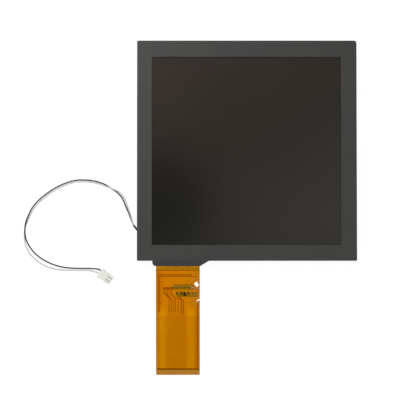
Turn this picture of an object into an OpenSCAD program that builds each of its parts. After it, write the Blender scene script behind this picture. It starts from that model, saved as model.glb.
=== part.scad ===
// TFT display module, square, with an LED backlight, a 50-way flex tail and a
// two-wire backlight lead. Millimetres. The module lies on its back: +Z is the
// display side, +Y the display's top edge, the flex tail leaves towards -Y and the
// lead towards -X. The origin is the middle of the rear chassis's outer face.

/* [Module] */
// Outside width of the module
module_w = 128; // [127.4:0.2:130]
// Outside height of the module
module_h = 128.4; // [127.8:0.2:130]
// Total thickness of the module
module_t = 6; // [6:0.1:6.6]
// Plan radius of three of the bezel's corners
corner_r = 0.7; // [0.7:0.1:1.2]
// Plan radius of the bezel's upper right corner
soft_corner_r = 1.6; // [0.8:0.1:3]

/* [Window] */
// Width of the bezel's window
window_w = 110; // [100:1:111]
// Height of the bezel's window
window_h = 109.4; // [100:0.2:110]
// How far the window's middle lies left of the module's middle
window_left = 0.2; // [0:0.1:0.5]
// How far the window's middle lies below the module's middle
window_down = 0.2; // [0:0.1:0.5]

/* [Sheet metal] */
// Thickness of the bezel and chassis sheet
sheet_t = 0.3; // [0.25:0.05:0.3]
// Outside bend radius along the bezel's folded edges
bend_r = 0.6; // [0.5:0.1:0.6]
// Depth of the pressed fields in the chassis floor
field_depth = 0.25; // [0.1:0.05:0.25]
// Side of one pressed field
field_side = 46; // [30:1:48]

/* [Backlight] */
// Side of the light guide plate
guide_side = 114; // [113:0.5:114]
// Thickness of the light guide plate
guide_t = 1.6; // [1.2:0.1:1.6]
// Number of LEDs along the left edge
led_count = 12; // [6:1:14]

/* [Cell] */
// Thickness of each sheet of glass
glass_t = 0.7; // [0.5:0.05:0.7]
// Thickness of each polarizer
polarizer_t = 0.2; // [0.1:0.05:0.2]
// Thickness of each driver chip
chip_t = 0.4; // [0.3:0.05:0.5]

/* [Flex tail] */
// Number of contacts at the end of the tail
contact_count = 50; // [20:2:50]
// Contact pitch
contact_pitch = 0.5; // [0.4:0.1:0.5]
// Thickness of the flex circuit
flex_t = 0.12; // [0.1:0.02:0.2]
// Length of the tail beyond the bezel
tail_len = 66.8; // [63:0.2:90]
// Distance of the tail's middle from the module's middle, to the left
tail_left = 40.2; // [39:0.1:41]

/* [Lead] */
// Outside diameter of each wire
wire_d = 0.8; // [0.6:0.05:0.8]
// Length of the plug housing
plug_len = 8.2; // [8:0.1:9]
// Width of the plug housing
plug_w = 5.4; // [5:0.1:6]
// Thickness of the plug housing
plug_t = 4; // [3.8:0.1:4.5]

/* [Hidden] */

gap = 0.1;                     // working clearance between nested sheet-metal parts
eps = 0.01;                    // overshoot of a cutting solid past the face it cuts
half_w = module_w/2;
half_h = module_h/2;

// heights of the stack, bottom to top
field_top = field_depth + sheet_t;
reflector_t = 0.15;
guide_z = field_top + reflector_t;
sheets_z = guide_z + guide_t;          // underside of the optical sheets
diffuser_t = 0.15;
prism_t = 0.15;
shelf_z = 2.95;                        // underside of the frame's shelf
shelf_top = 3.3;
rim_t = 0.05;
rear_pol_z = shelf_top + rim_t;
tft_z = rear_pol_z + polarizer_t;
ledge_z = tft_z + glass_t;             // top of the array glass, where the flex is bonded
front_pol_z = ledge_z + glass_t;
cell_top = front_pol_z + polarizer_t;
plate_z = module_t - sheet_t;          // underside of the bezel's plate

// chassis tray, nested inside the bezel's walls
tray_w = half_w - sheet_t - gap;
tray_h = half_h - sheet_t - gap;
tray_r = 0.4;                          // outside bend radius of the tray
tray_top = 3;
tray_corner = 3;                       // open length at each corner of the tray
bezel_low = 0.6;                       // lower edge of the bezel's walls
field_off = 27;                        // middle of a pressed field from the centre lines
field_r = 7;
peg = [59.6, 60.2];                    // frame pegs in the tray's corner holes
peg_d = 2.2;

// snap windows in the bezel's walls and the tray's bumps in them
snap_spots = [-40, 0, 40];
snap_w = 5;
snap_z = [1.4, 2.6];
bump_w = 4.4;

// moulded frame
frame_w = tray_w - sheet_t - gap;
frame_h = tray_h - sheet_t - gap;
guide_open = guide_side/2 + 0.2;
shelf_open = 55.6;
rim_open = 58.1;
rim_low_y = -62.6;
rim_top = 5;

window_r = 0.7;
window_chamfer = 0.25;                 // width and depth of the window's chamfered edge

// cell outlines, as half sizes; the array glass runs further down than the filter
glass_half = 57.8;
ledge_y = -62.3;
polarizer_half = 56.8;
gasket_half = 57.5;
sheet_half = 56.9;

// LED strip in a channel of the frame's left side
strip_x = -62.2;
strip_w = 4;
strip_t = 0.2;
strip_top = sheet_t + strip_t;
strip_y = [-56.2, 53];
channel = [strip_x - 0.2, -56.5, 54, 2.75];   // left side, low end, high end, top
led = [1.1, 3, 1.4];
led_x = -58.6;
led_pitch = 8.6;

// route of each wire's centre line, from its solder joint to its crimp in the plug
black_route = [
    [-60.16, -51.52, 1.1], [-60.88, -50.56, 1.1], [-61.6, -49.6, 1.25],
    [-66.25, -43.4, 0.6], [-67.35, -41.25, 0.42], [-68.3, -38.65, 0.4], [-69.3, -35.95, 0.4],
    [-70.65, -32.95, 0.4], [-71.85, -29.95, 0.4], [-73.4, -27, 0.4], [-76, -24.3, 0.4],
    [-79.4, -21.9, 0.4], [-83.2, -19.6, 0.4], [-87.2, -18.1, 0.4], [-91.2, -17.3, 0.4],
    [-95.2, -17, 0.4], [-99.2, -17.1, 0.4], [-103.2, -17.9, 0.4], [-107.8, -19.5, 0.4],
    [-112.2, -21.7, 0.4], [-116.4, -24.4, 0.4], [-120.2, -27.3, 0.4],
    [-123.3, -30.3, 0.4], [-125.7, -33.4, 0.5], [-127.4, -36.8, 0.85],
    [-128.9, -40.5, 1.2], [-129.7, -44.2, 1.3], [-129.8, -48, 1.25], [-129.1, -52, 0.8],
    [-127.2, -56, 0.4], [-124, -60, 0.4], [-119.2, -63.7, 0.4], [-113.6, -66.4, 0.4],
    [-107.6, -68.1, 0.4], [-101.4, -68.7, 0.4], [-95.2, -68.8, 0.6],
    [-90, -68.9, 1.3], [-86.38, -69.34, 2], [-83.82, -71.26, 2]
];
white_route = [
    [-61.4, -53.8, 1.05], [-61.4, -52.8, 1.05], [-61.5, -51.6, 1.5],
    [-61.55, -50.6, 1.95], [-61.6, -49.6, 2.09], [-66.25, -43.4, 1.44],
    [-67.05, -41.25, 1.33], [-67.7, -38.6, 1.25], [-68.6, -35.8, 1.1], [-69.75, -32.8, 0.95],
    [-70.85, -29.8, 0.75], [-72.4, -26.6, 0.7], [-75.1, -23.9, 1.16], [-79, -22, 1.33],
    [-83, -20.6, 1.15], [-87.2, -19.1, 0.4], [-91.2, -18.3, 0.4], [-95.2, -18, 0.4],
    [-99.2, -18.1, 0.4], [-103.2, -18.9, 0.4], [-107.4, -20.4, 0.4],
    [-111.8, -22.6, 0.4], [-115.9, -25.3, 0.4], [-119.6, -28.2, 0.4],
    [-122.6, -31.1, 0.4], [-125, -34.1, 0.4], [-126.7, -37.3, 0.4], [-128.4, -41, 0.4],
    [-129.7, -44.6, 0.4], [-130.3, -48.6, 0.4], [-130, -52.8, 0.4],
    [-128.7, -57.3, 0.4], [-125.8, -61.6, 0.4], [-121, -65.7, 0.4], [-114.6, -68.6, 0.4],
    [-107.6, -69.7, 0.4], [-98, -69.9, 0.5], [-91.5, -70.1, 1.1], [-87.18, -71.24, 2],
    [-85.02, -72.86, 2]
];
tube_sides = 8;

// sleeve over the stretch where the wires run stacked through the left wall
sleeve_in = black_route[2];
sleeve_out = black_route[3];
stack_dz = white_route[4][2] - sleeve_in[2];
sleeve_r = 0.58;
sleeve_bore = 0.46;
notch = [-48.4, -44.4, 0.36, 2.95];    // through the tray and bezel: y from and to, z from and to
frame_notch = [-50, -45.4];

// plug, its middle on the surface it lies on
plug_at = [-82.5, -73.5];
plug_turn = -atan(3/4);
plug_pitch = 2;
plug_hole_d = 1;
plug_cell = [1.3, 1.7];                // width and height of each way
plug_cell_x = -2.4;                    // back end of the ways
plug_slot = [1.2, 0.5];                // back end and width of the slot over each way

// flex root, slot and tape at the lower wall
exit_y = -half_h;
tip_y = exit_y - tail_len;
slot_x = [-56, -21];
slot_z = 3.6;
root_y = ledge_y + 1.1;
root_x = [-54.6, -22.6];
tape_x = [-55, -22.1];
tape_y = -60.2;
tape_t = 0.1;
tape_drop = 3.1;                       // how far the tape stands out below the bezel
tape_r = 2;
tape_slant = 5.1;
tail_w = (contact_count + 1)*contact_pitch;
tail_x = -tail_left;
tail_end_r = 0.9;
contact_stiff = [6, 0.2];              // length and thickness
part_stiff = [22, 9.6, 0.2];
part_flat = [12.4, 23.2];              // flat stretch under the chip parts, from the bezel
bond = 0.003;                          // glue line between the flex and what it carries
contact = [0.3, 3, 0.03];
flex_stations = concat([0, 3, 6, 9], part_flat, [27, 31, 35, 39, 43, 47, 51, 56],
    [tail_len - contact_stiff[0], tail_len]);

// the tail droops as a cantilever until its end lies on the surface
function flex_z(s) = let (u = s/tail_len, drop = ledge_z - contact_stiff[1] - bond)
    ledge_z - drop*(pow(u, 4) - 4*pow(u, 3) + 6*pow(u, 2))/3;
function flex_slope(a, b) = atan((flex_z(a) - flex_z(b))/(b - a));

// ------------------------------------------------------------------ helpers
module block(x, y, z) {
    translate([x[0], y[0], z[0]]) cube([x[1] - x[0], y[1] - y[0], z[1] - z[0]]);
}

module sheet(half_x, half_y, z, t) {
    block([-half_x, half_x], [-half_y, half_y], [z, z + t]);
}

module ring(outer, inner, z, t) {
    difference() {
        sheet(outer[0], outer[1], z, t);
        sheet(inner[0], inner[1], z - eps, t + 2*eps);
    }
}

module rounded(w, h, r) {
    square([w - 2*r, h], center = true);
    square([w, h - 2*r], center = true);
    for (sx = [-1, 1], sy = [-1, 1])
        translate([sx*(w/2 - r), sy*(h/2 - r)]) circle(r = r, $fn = 48);
}

// section of a folded sheet edge: a wall of height h on the outside, bent to a floor
module fold_section(r, h) {
    translate([0, r]) square([sheet_t, h - r]);
    intersection() {
        translate([r, r]) difference() {
            circle(r = r, $fn = 64);
            circle(r = r - sheet_t, $fn = 64);
        }
        square([r, r]);
    }
}

// a straight folded edge: outer face at x = 0, running from y = 0 to y = -len
module fold_run(len, r, h) {
    rotate([90, 0, 0]) linear_extrude(len) fold_section(r, h);
}

// ------------------------------------------------------------------ front bezel
module bezel_section() {
    translate([0, module_t]) mirror([0, 1]) fold_section(bend_r, module_t - bezel_low);
}

module bezel_run(len) {
    rotate([90, 0, 0]) linear_extrude(len) bezel_section();
}

module bezel_corner(r) {
    translate([r, r, 0]) rotate([0, 0, 180]) rotate_extrude(angle = 90, $fn = 96)
        translate([r, 0]) mirror([1, 0]) bezel_section();
}

// what is cut from a corner at the origin, whose outline lies at +x and +y, to round it
module corner_cut(r) {
    difference() {
        square(2*r, center = true);
        translate([r, r]) circle(r = r, $fn = 96);
    }
}

module bezel_plate() {
    inset_w = half_w - bend_r;
    inset_h = half_h - bend_r;
    translate([0, 0, plate_z]) linear_extrude(sheet_t) difference() {
        square([2*inset_w, 2*inset_h], center = true);
        translate([-inset_w, -inset_h]) corner_cut(corner_r - bend_r);
        translate([inset_w, -inset_h]) mirror([1, 0]) corner_cut(corner_r - bend_r);
        translate([-inset_w, inset_h]) mirror([0, 1]) corner_cut(corner_r - bend_r);
        translate([inset_w, inset_h]) rotate(180) corner_cut(soft_corner_r - bend_r);
        translate([-window_left, -window_down]) rounded(window_w, window_h, window_r);
    }
}

// a frustum with 45 degree sides, which chamfers the window's upper edge
module window_edge_cut() {
    hull() for (rise = [-window_chamfer - 0.04, eps])
        translate([-window_left, -window_down, module_t + rise]) linear_extrude(0.001)
            rounded(window_w + 2*(window_chamfer + rise), window_h + 2*(window_chamfer + rise),
                window_r + window_chamfer + rise);
}

module front_bezel() {
    color("#424444") {
        difference() {
            union() {
                bezel_plate();
                translate([-half_w, half_h - corner_r, 0]) bezel_run(module_h - 2*corner_r);
                translate([corner_r - half_w, -half_h, 0]) rotate([0, 0, 90])
                    bezel_run(module_w - 2*corner_r);
                translate([half_w, corner_r - half_h, 0]) rotate([0, 0, 180])
                    bezel_run(module_h - corner_r - soft_corner_r);
                translate([half_w - soft_corner_r, half_h, 0]) rotate([0, 0, -90])
                    bezel_run(module_w - corner_r - soft_corner_r);
                translate([-half_w, -half_h, 0]) bezel_corner(corner_r);
                translate([half_w, -half_h, 0]) rotate([0, 0, 90]) bezel_corner(corner_r);
                translate([half_w, half_h, 0]) rotate([0, 0, 180])
                    bezel_corner(soft_corner_r);
                translate([-half_w, half_h, 0]) rotate([0, 0, -90]) bezel_corner(corner_r);
            }
            window_edge_cut();
            block(slot_x, [-half_h - eps, bend_r - half_h], [slot_z, module_t + eps]);
            block([-half_w - eps, sheet_t - half_w + eps], [notch[0], notch[1]],
                [bezel_low - eps, notch[3]]);
            for (s = snap_spots) {
                block([-half_w - eps, half_w + eps], [s - snap_w/2, s + snap_w/2], snap_z);
                block([s - snap_w/2, s + snap_w/2], [-half_h - eps, half_h + eps], snap_z);
            }
        }
        // over the flex slot the plate runs out flat to the wall's line
        block(slot_x, [-half_h, bend_r - half_h], [plate_z, module_t]);
    }
}

module bezel_gasket() {
    color("#202020") difference() {
        sheet(gasket_half, gasket_half, cell_top, plate_z - cell_top);
        translate([-window_left, -window_down, 0])
            sheet(window_w/2 + 0.7, window_h/2 + 0.7, cell_top - eps, 1);
    }
}

// ------------------------------------------------------------------ cell
module front_polarizer() {
    color("#303230") sheet(polarizer_half, polarizer_half, front_pol_z, polarizer_t);
}

module color_filter_glass() {
    color("#505452") sheet(glass_half, glass_half, ledge_z, glass_t);
}

module tft_glass() {
    color("#6c7c78")
        block([-glass_half, glass_half], [ledge_y, glass_half], [tft_z, tft_z + glass_t]);
}

module driver_chips() {
    color("#2a2c30") for (x = [-38.6, 20])
        block([x - 11, x + 11], [-60.6, -59.5], [ledge_z, ledge_z + chip_t]);
}

module rear_polarizer() {
    color("#3c3e40") sheet(polarizer_half, polarizer_half, rear_pol_z, polarizer_t);
}

module rim_tape() {
    color("#1c1c1c") ring([57.6, 57.6], [55.8, 55.8], shelf_top, rim_t);
}

// ------------------------------------------------------------------ backlight
module bottom_diffuser() {
    color("#f0f0ec") sheet(sheet_half, sheet_half, sheets_z, diffuser_t);
}

module prism_sheet_lower() {
    color("#dfe6ea") sheet(sheet_half, sheet_half, sheets_z + diffuser_t, prism_t);
}

module prism_sheet_upper() {
    color("#dfe6ea") sheet(sheet_half, sheet_half, sheets_z + diffuser_t + prism_t, prism_t);
}

module top_diffuser() {
    color("#f2f2ee")
        sheet(sheet_half, sheet_half, sheets_z + diffuser_t + 2*prism_t, 0.1);
}

module light_guide_plate() {
    color("#e8f4f4") sheet(guide_side/2, guide_side/2, guide_z, guide_t);
}

module reflector_sheet() {
    color("#fafafa") sheet(guide_side/2, guide_side/2, field_top, reflector_t);
}

module led_strip_board() {
    color("#e8e4d8") block([strip_x, strip_x + strip_w], strip_y, [sheet_t, strip_top]);
}

module led_package() {
    difference() {
        block([0, led[0]], [-led[1]/2, led[1]/2], [0, led[2]]);
        block([led[0] - 0.3, led[0] + eps], [-1.2, 1.2], [0.25, led[2] - 0.25]);
    }
}

module leds() {
    color("#f4f0c8") for (i = [0:led_count - 1])
        translate([led_x, (i - (led_count - 1)/2)*led_pitch, strip_top]) led_package();
}

// a solder dome on the strip board with the tinned strands of one wire
module solder_joint(wire_end, direction, r) {
    reach = 0.95;
    translate([wire_end[0], wire_end[1], 0]) rotate([0, 0, direction]) {
        intersection() {
            translate([reach, 0, strip_top]) sphere(r = r, $fn = 32);
            block([0, 2], [-1, 1], [strip_top, 2]);
        }
        translate([0, 0, wire_end[2]]) rotate([0, 90, 0])
            cylinder(d = 0.35, h = reach - 0.3, $fn = 24);
    }
}

module solder_joints() {
    color("#b8bcc0") {
        solder_joint(black_route[0], -atan(4/3), 0.8);
        solder_joint(white_route[0], -90, 0.8);
    }
}

module frame_rim() {
    difference() {
        sheet(frame_w, frame_h, shelf_top - eps, rim_top - shelf_top + eps);
        block([-rim_open, rim_open], [rim_low_y, rim_open], [shelf_top - 1, rim_top + 1]);
        block(slot_x, [-half_h, rim_low_y + eps], [ledge_z - gap, rim_top + 1]);
    }
}

module mold_frame() {
    color("#ecece6") {
        difference() {
            union() {
                ring([frame_w, frame_h], [guide_open, guide_open], sheet_t,
                    shelf_z - sheet_t + eps);
                ring([frame_w, frame_h], [shelf_open, shelf_open], shelf_z,
                    shelf_top - shelf_z);
            }
            block([channel[0], -guide_open + eps], [channel[1], channel[2]],
                [sheet_t - eps, channel[3]]);
            block([-frame_w - eps, channel[0] + eps], frame_notch, [sheet_t - eps, channel[3]]);
        }
        frame_rim();
        for (sx = [-1, 1], sy = [-1, 1])
            translate([sx*peg[0], sy*peg[1], 0.05])
                cylinder(d = peg_d, h = sheet_t, $fn = 32);
    }
}

// ------------------------------------------------------------------ rear chassis
module snap_bump() {
    rotate([90, 0, 0]) translate([0, 0, -bump_w/2])
        linear_extrude(bump_w) polygon([[0, 0], [-0.3, 0], [-0.3, 0.6], [0, 0.9]]);
}

module tray_walls() {
    run_w = 2*(tray_w - tray_corner);
    run_h = 2*(tray_h - tray_corner);
    translate([-tray_w, run_h/2, 0]) fold_run(run_h, tray_r, tray_top);
    translate([tray_w, -run_h/2, 0]) rotate([0, 0, 180]) fold_run(run_h, tray_r, tray_top);
    translate([-run_w/2, -tray_h, 0]) rotate([0, 0, 90]) fold_run(run_w, tray_r, tray_top);
    translate([run_w/2, tray_h, 0]) rotate([0, 0, -90]) fold_run(run_w, tray_r, tray_top);
    for (s = snap_spots) {
        translate([-tray_w, s, 1.55]) snap_bump();
        translate([tray_w, s, 1.55]) rotate([0, 0, 180]) snap_bump();
        translate([s, -tray_h, 1.55]) rotate([0, 0, 90]) snap_bump();
        translate([s, tray_h, 1.55]) rotate([0, 0, -90]) snap_bump();
    }
}

module pressed_fields(side, z, t) {
    for (sx = [-1, 1], sy = [-1, 1])
        translate([sx*field_off, sy*field_off, z]) linear_extrude(t)
            rounded(side, side, field_r);
}

module rear_chassis() {
    color("#b4b8ba") difference() {
        union() {
            sheet(tray_w - tray_r, tray_h - tray_r, 0, sheet_t);
            pressed_fields(field_side + 2*sheet_t, field_depth, sheet_t);
            tray_walls();
        }
        pressed_fields(field_side, -eps, field_depth + eps);
        block([-tray_w - 1, -tray_w + 1], [notch[0], notch[1]], [notch[2], tray_top + 1]);
        for (sx = [-1, 1], sy = [-1, 1])
            translate([sx*peg[0], sy*peg[1], -eps])
                cylinder(d = peg_d + 0.2, h = sheet_t + 2*eps, $fn = 32);
    }
}

// ------------------------------------------------------------------ flex tail
module flex_plan() {
    taper_y = exit_y - tape_drop + 0.3;
    difference() {
        polygon([
            [root_x[0], root_y], [root_x[1], root_y], [root_x[1], exit_y],
            [tail_x + tail_w/2, taper_y], [tail_x + tail_w/2, tip_y],
            [tail_x - tail_w/2, tip_y], [tail_x - tail_w/2, taper_y],
            [root_x[0], exit_y - 1]
        ]);
        translate([tail_x - tail_w/2, tip_y]) corner_cut(tail_end_r);
        translate([tail_x + tail_w/2, tip_y]) mirror([1, 0]) corner_cut(tail_end_r);
    }
}

module flex_circuit() {
    low = [for (s = flex_stations) [exit_y - s, flex_z(s)]];
    high = [for (i = [len(low) - 1:-1:0]) low[i] + [0, flex_t]];
    color("#c07a10") intersection() {
        translate([root_x[0], 0, 0]) rotate([90, 0, 90]) linear_extrude(root_x[1] - root_x[0])
            polygon(concat([[root_y, ledge_z]], low, high, [[root_y, ledge_z + flex_t]]));
        translate([0, 0, -1]) linear_extrude(ledge_z + 2) flex_plan();
    }
}

// children stand on the flex's top, or hang from its underside, over one flat stretch:
// x from the tail's middle, y backwards from the stretch's start
module on_flex(from, to, height = flex_t + bond) {
    translate([tail_x, exit_y - from, flex_z(from) + height])
        rotate([flex_slope(from, to), 0, 0]) children();
}

module contact_stiffener() {
    len = contact_stiff[0]/cos(flex_slope(tail_len - contact_stiff[0], tail_len));
    color("#b8862c") on_flex(tail_len - contact_stiff[0], tail_len, -bond)
        block([-tail_w/2 + 0.1, tail_w/2 - 0.1], [-len, 0], [-contact_stiff[1], 0]);
}

module part_stiffener() {
    middle = (part_flat[1] - part_flat[0])/2;
    color("#b8862c") on_flex(part_flat[0], part_flat[1], -bond)
        block([-part_stiff[0]/2, part_stiff[0]/2],
            [-middle - part_stiff[1]/2, -middle + part_stiff[1]/2], [-part_stiff[2], 0]);
}

module contact_fingers() {
    start = contact_stiff[0] - contact[1] - 0.15;
    color("#d8b878") on_flex(tail_len - contact_stiff[0], tail_len)
        for (i = [0:contact_count - 1])
            translate([(i - (contact_count - 1)/2)*contact_pitch, -start, 0])
                block([-contact[0]/2, contact[0]/2], [-contact[1], 0], [0, contact[2]]);
}

// a chip part with its tinned ends slightly proud of the body
module chip(l, w, h) {
    block([-l/2 + 0.3, l/2 - 0.3], [-w/2 + 0.03, w/2 - 0.03], [0, h - 0.03]);
    block([-l/2, -l/2 + 0.3], [-w/2, w/2], [0, h]);
    block([l/2 - 0.3, l/2], [-w/2, w/2], [0, h]);
}

module flex_capacitors() {
    color("#9a7a4a") on_flex(part_flat[0], part_flat[1]) {
        for (i = [0:4]) translate([-2.2 + 2.2*i, -2.6, 0]) chip(1.6, 0.8, 0.6);
        for (i = [0:1]) translate([8 + 1.9*i, -6.6, 0]) rotate([0, 0, 90]) chip(1.6, 0.8, 0.6);
    }
}

module flex_resistors() {
    color("#26262a") on_flex(part_flat[0], part_flat[1])
        for (x = [-0.4, 1.9, 6.1]) translate([x, -6.6, 0]) chip(1.6, 0.8, 0.4);
}

module flex_diode() {
    color("#1e1e20") on_flex(part_flat[0], part_flat[1]) translate([3.9, -7, 0]) {
        block([-0.6, 0.6], [-0.8, 0.8], [0.1, 0.75]);
        for (s = [-1, 1]) block([-0.25, 0.25], [s*0.95 - 0.2, s*0.95 + 0.2], [0, 0.2]);
    }
}

module tape_plan() {
    low_y = exit_y - tape_drop;
    difference() {
        polygon([
            [tape_x[0], tape_y], [tape_x[1], tape_y], [tape_x[1], exit_y],
            [tape_x[1] - tape_slant, low_y], [tape_x[0], low_y]
        ]);
        translate([tape_x[0], low_y]) corner_cut(tape_r);
    }
}

module root_tape() {
    // lies under the plate, then slopes down on to the flex
    fold_y = exit_y - 0.3;
    land_y = exit_y - tape_drop + 0.5;
    land_z = ledge_z + flex_t + eps;
    low = [[tape_y, plate_z - tape_t], [fold_y, plate_z - tape_t], [land_y, land_z],
        [exit_y - tape_drop - 1, land_z]];
    high = [for (i = [len(low) - 1:-1:0]) low[i] + [0, tape_t]];
    color("#303234") intersection() {
        translate([tape_x[0], 0, 0]) rotate([90, 0, 90])
            linear_extrude(tape_x[1] - tape_x[0]) polygon(concat(low, high));
        translate([0, 0, ledge_z]) linear_extrude(2) tape_plan();
    }
}

// ------------------------------------------------------------------ lead
function unit(v) = v/norm(v);
function tangent(p, i) = unit(
    (i > 0 ? unit(p[i] - p[i - 1]) : [0, 0, 0])
    + (i < len(p) - 1 ? unit(p[i + 1] - p[i]) : [0, 0, 0]));

// tube with flats that touch a round wire of diameter d along the route p
module tube(p, d) {
    n = tube_sides;
    r = d/2/cos(180/n);
    rings = [for (i = [0:len(p) - 1]) let (t = tangent(p, i),
        side = unit(cross(t, [0, 0, 1])), up = cross(side, t))
        for (k = [0:n - 1]) let (a = (k + 0.5)*360/n) p[i] + r*(cos(a)*side + sin(a)*up)];
    last = len(p) - 1;
    walls = [for (i = [0:last - 1], k = [0:n - 1])
        let (a = i*n + k, b = i*n + (k + 1)%n)
        each [[a, b, b + n], [a, b + n, a + n]]];
    polyhedron(rings, concat(walls,
        [[for (k = [n - 1:-1:0]) k], [for (k = [0:n - 1]) last*n + k]]));
}

module wire_black() {
    color("#202224") tube(black_route, wire_d);
}

module wire_white() {
    color("#e4e4e0") tube(white_route, wire_d);
}

module stadium(r, dz) {
    circle(r = r, $fn = 48);
    translate([0, dz]) circle(r = r, $fn = 48);
    translate([-r, 0]) square([2*r, dz]);
}

module lead_sleeve() {
    run = sleeve_out - sleeve_in;
    flat = norm([run[0], run[1]]);
    pitch = atan(-run[2]/flat);
    dz = stack_dz*cos(pitch);
    color("#1c1e20") translate(sleeve_in)
        rotate([0, pitch, atan2(run[1], run[0])]) rotate([90, 0, 90])
            linear_extrude(norm(run)) difference() {
                stadium(sleeve_r, dz);
                stadium(sleeve_bore, dz);
            }
}

module at_plug() {
    translate([plug_at[0], plug_at[1], 0]) rotate([0, 0, plug_turn]) children();
}

module plug_housing() {
    front = plug_len/2;
    color("#e6e6d8") at_plug() difference() {
        union() {
            rotate([90, 0, 90]) translate([0, 0, -front]) linear_extrude(plug_len)
                polygon([[-plug_w/2 + 0.3, 0], [plug_w/2 - 0.3, 0], [plug_w/2, 0.3],
                    [plug_w/2, plug_t - 0.7], [plug_w/2 - 0.5, plug_t - 0.7],
                    [plug_w/2 - 0.5, plug_t], [-plug_w/2 + 0.5, plug_t],
                    [-plug_w/2 + 0.5, plug_t - 0.7], [-plug_w/2, plug_t - 0.7],
                    [-plug_w/2, 0.3]]);
            // collar at the cable end
            block([-front, -front + 1.6], [-plug_w/2 - 0.2, plug_w/2 + 0.2],
                [0.3, plug_t - 0.3]);
        }
        for (s = [-1, 1]) translate([0, s*plug_pitch/2, 0]) {
            block([plug_cell_x, front + eps], [-plug_cell[0]/2, plug_cell[0]/2],
                [plug_t/2 - plug_cell[1]/2, plug_t/2 + plug_cell[1]/2]);
            translate([-front - eps, 0, plug_t/2]) rotate([0, 90, 0])
                cylinder(d = plug_hole_d, h = plug_len/2, $fn = 32);
            // slot along each way, open at the mating end
            block([plug_slot[0], front + eps], [-plug_slot[1]/2, plug_slot[1]/2],
                [plug_t/2, plug_t + eps]);
        }
    }
}

module plug_contacts() {
    shell = [1.1, 1.5];
    color("#c8ccd0") at_plug() for (s = [-1, 1]) translate([0, s*plug_pitch/2, plug_t/2]) {
        translate([plug_cell_x + eps, 0, 0]) rotate([0, 90, 0])
            cylinder(d = 0.9, h = 1.5, $fn = 32);
        difference() {
            block([-1, 3.6], [-shell[0]/2, shell[0]/2], [-shell[1]/2, shell[1]/2]);
            block([-0.6, 4], [-0.4, 0.4], [-0.6, 0.6]);
        }
    }
}

front_bezel();
bezel_gasket();
front_polarizer();
color_filter_glass();
tft_glass();
driver_chips();
rear_polarizer();
rim_tape();
top_diffuser();
prism_sheet_upper();
prism_sheet_lower();
bottom_diffuser();
light_guide_plate();
reflector_sheet();
mold_frame();
led_strip_board();
leds();
solder_joints();
rear_chassis();
root_tape();
flex_circuit();
contact_stiffener();
part_stiffener();
contact_fingers();
flex_capacitors();
flex_resistors();
flex_diode();
lead_sleeve();
wire_black();
wire_white();
plug_housing();
plug_contacts();
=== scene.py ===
# %% [markdown]
# # A small TFT display module
# The module is a pressed steel bezel over a glass display cell, with an amber flex tail
# below it and a thin two-wire backlight lead at its left. Its solids come from the packed
# CAD frame, in metres. This script gives every solid its finish, and models what solids
# can't show well: round wires, the draped flex film with its copper, and soft edges.

# %% Load the frame
import math

import bmesh
import bpy
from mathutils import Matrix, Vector


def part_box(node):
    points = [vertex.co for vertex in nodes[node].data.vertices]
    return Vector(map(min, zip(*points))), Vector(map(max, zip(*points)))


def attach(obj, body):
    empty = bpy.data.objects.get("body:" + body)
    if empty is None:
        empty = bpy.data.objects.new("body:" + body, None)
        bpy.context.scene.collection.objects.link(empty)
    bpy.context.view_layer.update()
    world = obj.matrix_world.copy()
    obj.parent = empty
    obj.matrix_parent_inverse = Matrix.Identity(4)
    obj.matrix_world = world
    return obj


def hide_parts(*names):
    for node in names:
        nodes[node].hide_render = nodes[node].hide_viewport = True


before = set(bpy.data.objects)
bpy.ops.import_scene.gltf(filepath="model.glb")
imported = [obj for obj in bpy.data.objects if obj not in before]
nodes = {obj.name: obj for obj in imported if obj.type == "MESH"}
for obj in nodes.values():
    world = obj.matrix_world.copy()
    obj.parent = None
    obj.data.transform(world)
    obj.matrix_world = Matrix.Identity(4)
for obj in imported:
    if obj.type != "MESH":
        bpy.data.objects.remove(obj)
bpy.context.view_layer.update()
MM = 0.001
BODY = "root"


# %% [markdown]
# ## Camera
# The module lies on a table under a camera that looks almost straight down, from about
# 0.6 m, which is where a person would hold it to inspect the display. A long lens keeps
# the square panel square. The small tilt brings the tail's side a little nearer.

# %% Camera
AIM = Vector((-27.3, -28.73, 0))*MM
CAMERA_HEIGHT = 0.6
CAMERA_TILT = math.radians(1.2)
CAMERA_LENS = 92.0
CAMERA_SENSOR = 36.0


def new_object(name, data):
    """An object of a camera, lamp, curve or mesh, put into the scene."""
    made = bpy.data.objects.new(name, data)
    bpy.context.scene.collection.objects.link(made)
    return made


camera_data = bpy.data.cameras.new("camera")
camera_data.lens = CAMERA_LENS
camera_data.sensor_width = CAMERA_SENSOR
camera_data.clip_start = 0.05
camera = new_object("camera", camera_data)
camera.location = AIM + CAMERA_HEIGHT*Vector((0, -math.sin(CAMERA_TILT), math.cos(CAMERA_TILT)))
camera.rotation_euler = (CAMERA_TILT, 0, 0)
bpy.context.scene.camera = camera
print("camera at", [round(v, 3) for v in camera.location])

# %% [markdown]
# ## Colours and nodes
# A colour is written as it looks on a screen, in sRGB hex, and a shader wants it linear,
# so one function converts it. A second function adds one shader node with its settings
# and its links. Most finishes here are a slow or fine noise that moves the colour, the
# roughness or the height of the surface a little, so each of those has a short function
# too. The noise could be painted on an image, but a node has no seams and a true scale.

# %% Colours and single nodes
MIX_A, MIX_B, MIX_RESULT = 6, 7, 2     # the colour sockets of a Mix node


def linear(hex_colour):
    """An sRGB hex colour as linear red, green, blue and alpha."""
    parts = [int(hex_colour[i:i + 2], 16)/255 for i in (1, 3, 5)]
    return [c/12.92 if c <= 0.04045 else ((c + 0.055)/1.055)**2.4 for c in parts] + [1.0]


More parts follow.
